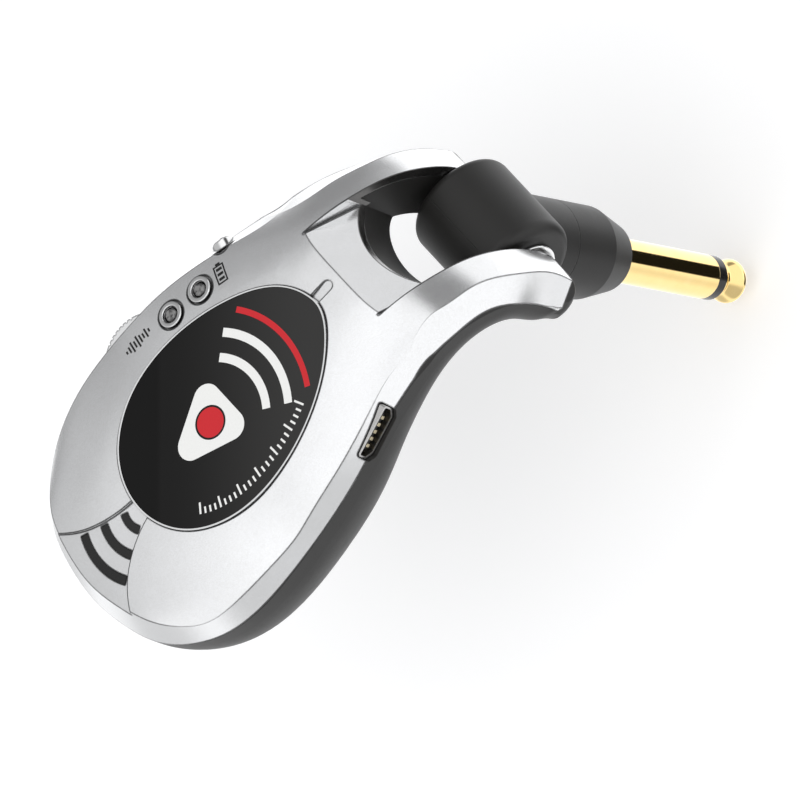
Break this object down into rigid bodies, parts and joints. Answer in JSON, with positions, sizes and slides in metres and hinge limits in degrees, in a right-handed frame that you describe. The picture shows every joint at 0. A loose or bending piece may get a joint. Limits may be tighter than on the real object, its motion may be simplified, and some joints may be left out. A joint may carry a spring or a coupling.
{
  "type": "wireless guitar transmitter",
  "caption": "Pocket wireless transmitter for an electric guitar: silver and black pod with a badge, and a jack plug that swings in a yoke.",
  "frame": {"origin": "centre of the badge's front face", "axes": "+X from the round tail to the yoke, +Y to the side with the power switch, +Z out of the front face"},
  "size_m": [0.0828, 0.0473, 0.0835],
  "materials": {
    "silver_paint": "metallic silver paint",
    "black_shell": "fine matte texture",
    "badge_black": "polished",
    "badge_rim_chrome": "polished",
    "inlay_white": "print",
    "inlay_red": "print",
    "chrome": "polished",
    "lens": "clear",
    "lamp": "clear",
    "dark_insert": "satin",
    "steel": "satin",
    "brass": "machined",
    "nylon": "natural",
    "gold_plate": "polished gold plate",
    "contact_gold": "gold plate",
    "socket_plastic": "moulded",
    "plug_black": "moulded",
    "board": "solder mask",
    "chip": "moulded",
    "shield_tin": "tinned",
    "ceramic": "ceramic",
    "cell_foil": "foil pouch",
    "foam": "foam",
    "wire_red": "insulation",
    "connector_white": "moulded"
  },
  "bodies": {
    "case": {"front_cover": "silver_paint", "back_cover": "black_shell", "pivot_bushes": "brass", "friction_washers": "chrome", "badge_plate": "badge_black", "badge_rim": "badge_rim_chrome", "badge_emblem": "inlay_white", "badge_accent": "inlay_red", "led_bezels": "chrome", "led_lenses": "lens", "led_light_pipes": "lens", "led_chips": "lamp", "wave_insert": "dark_insert", "usb_shell": "steel", "usb_tongue": "socket_plastic", "usb_contacts": "contact_gold", "power_switch_body": "steel", "tact_switch": "chip", "main_board": "board", "rf_shield": "shield_tin", "radio_chip": "chip", "audio_chips": "chip", "board_capacitors": "ceramic", "antenna": "contact_gold", "battery": "cell_foil", "battery_pads": "foam", "battery_connector": "connector_white", "battery_wires": "wire_red", "case_screws": "steel"},
    "plug": {"barrel_front_half": "black_shell", "barrel_back_half": "black_shell", "pivot_pins": "steel", "neck_sleeve": "black_shell", "plug_core": "brass", "plug_sleeve": "gold_plate", "plug_insulator": "plug_black", "plug_tip": "gold_plate", "tip_lug": "contact_gold", "lug_washer": "nylon"},
    "power_knob": {"power_switch_knob": "chrome"},
    "channel_push": {"channel_button": "chrome"}
  },
  "joints": [
    {"name": "plug_swing", "type": "hinge", "parent": "case", "child": "plug", "pos_m": [0.038, 0, -0.0252], "axis": [0, 1, 0], "range_deg": [-173, 67]},
    {"name": "power_slide", "type": "slide", "parent": "case", "child": "power_knob", "axis": [1, 0, 0], "range_m": [0, 0.002]},
    {"name": "channel_press", "type": "slide", "parent": "case", "child": "channel_push", "axis": [-0.2341, -0.9722, 0], "range_m": [0, 0.0004]}
  ]
}
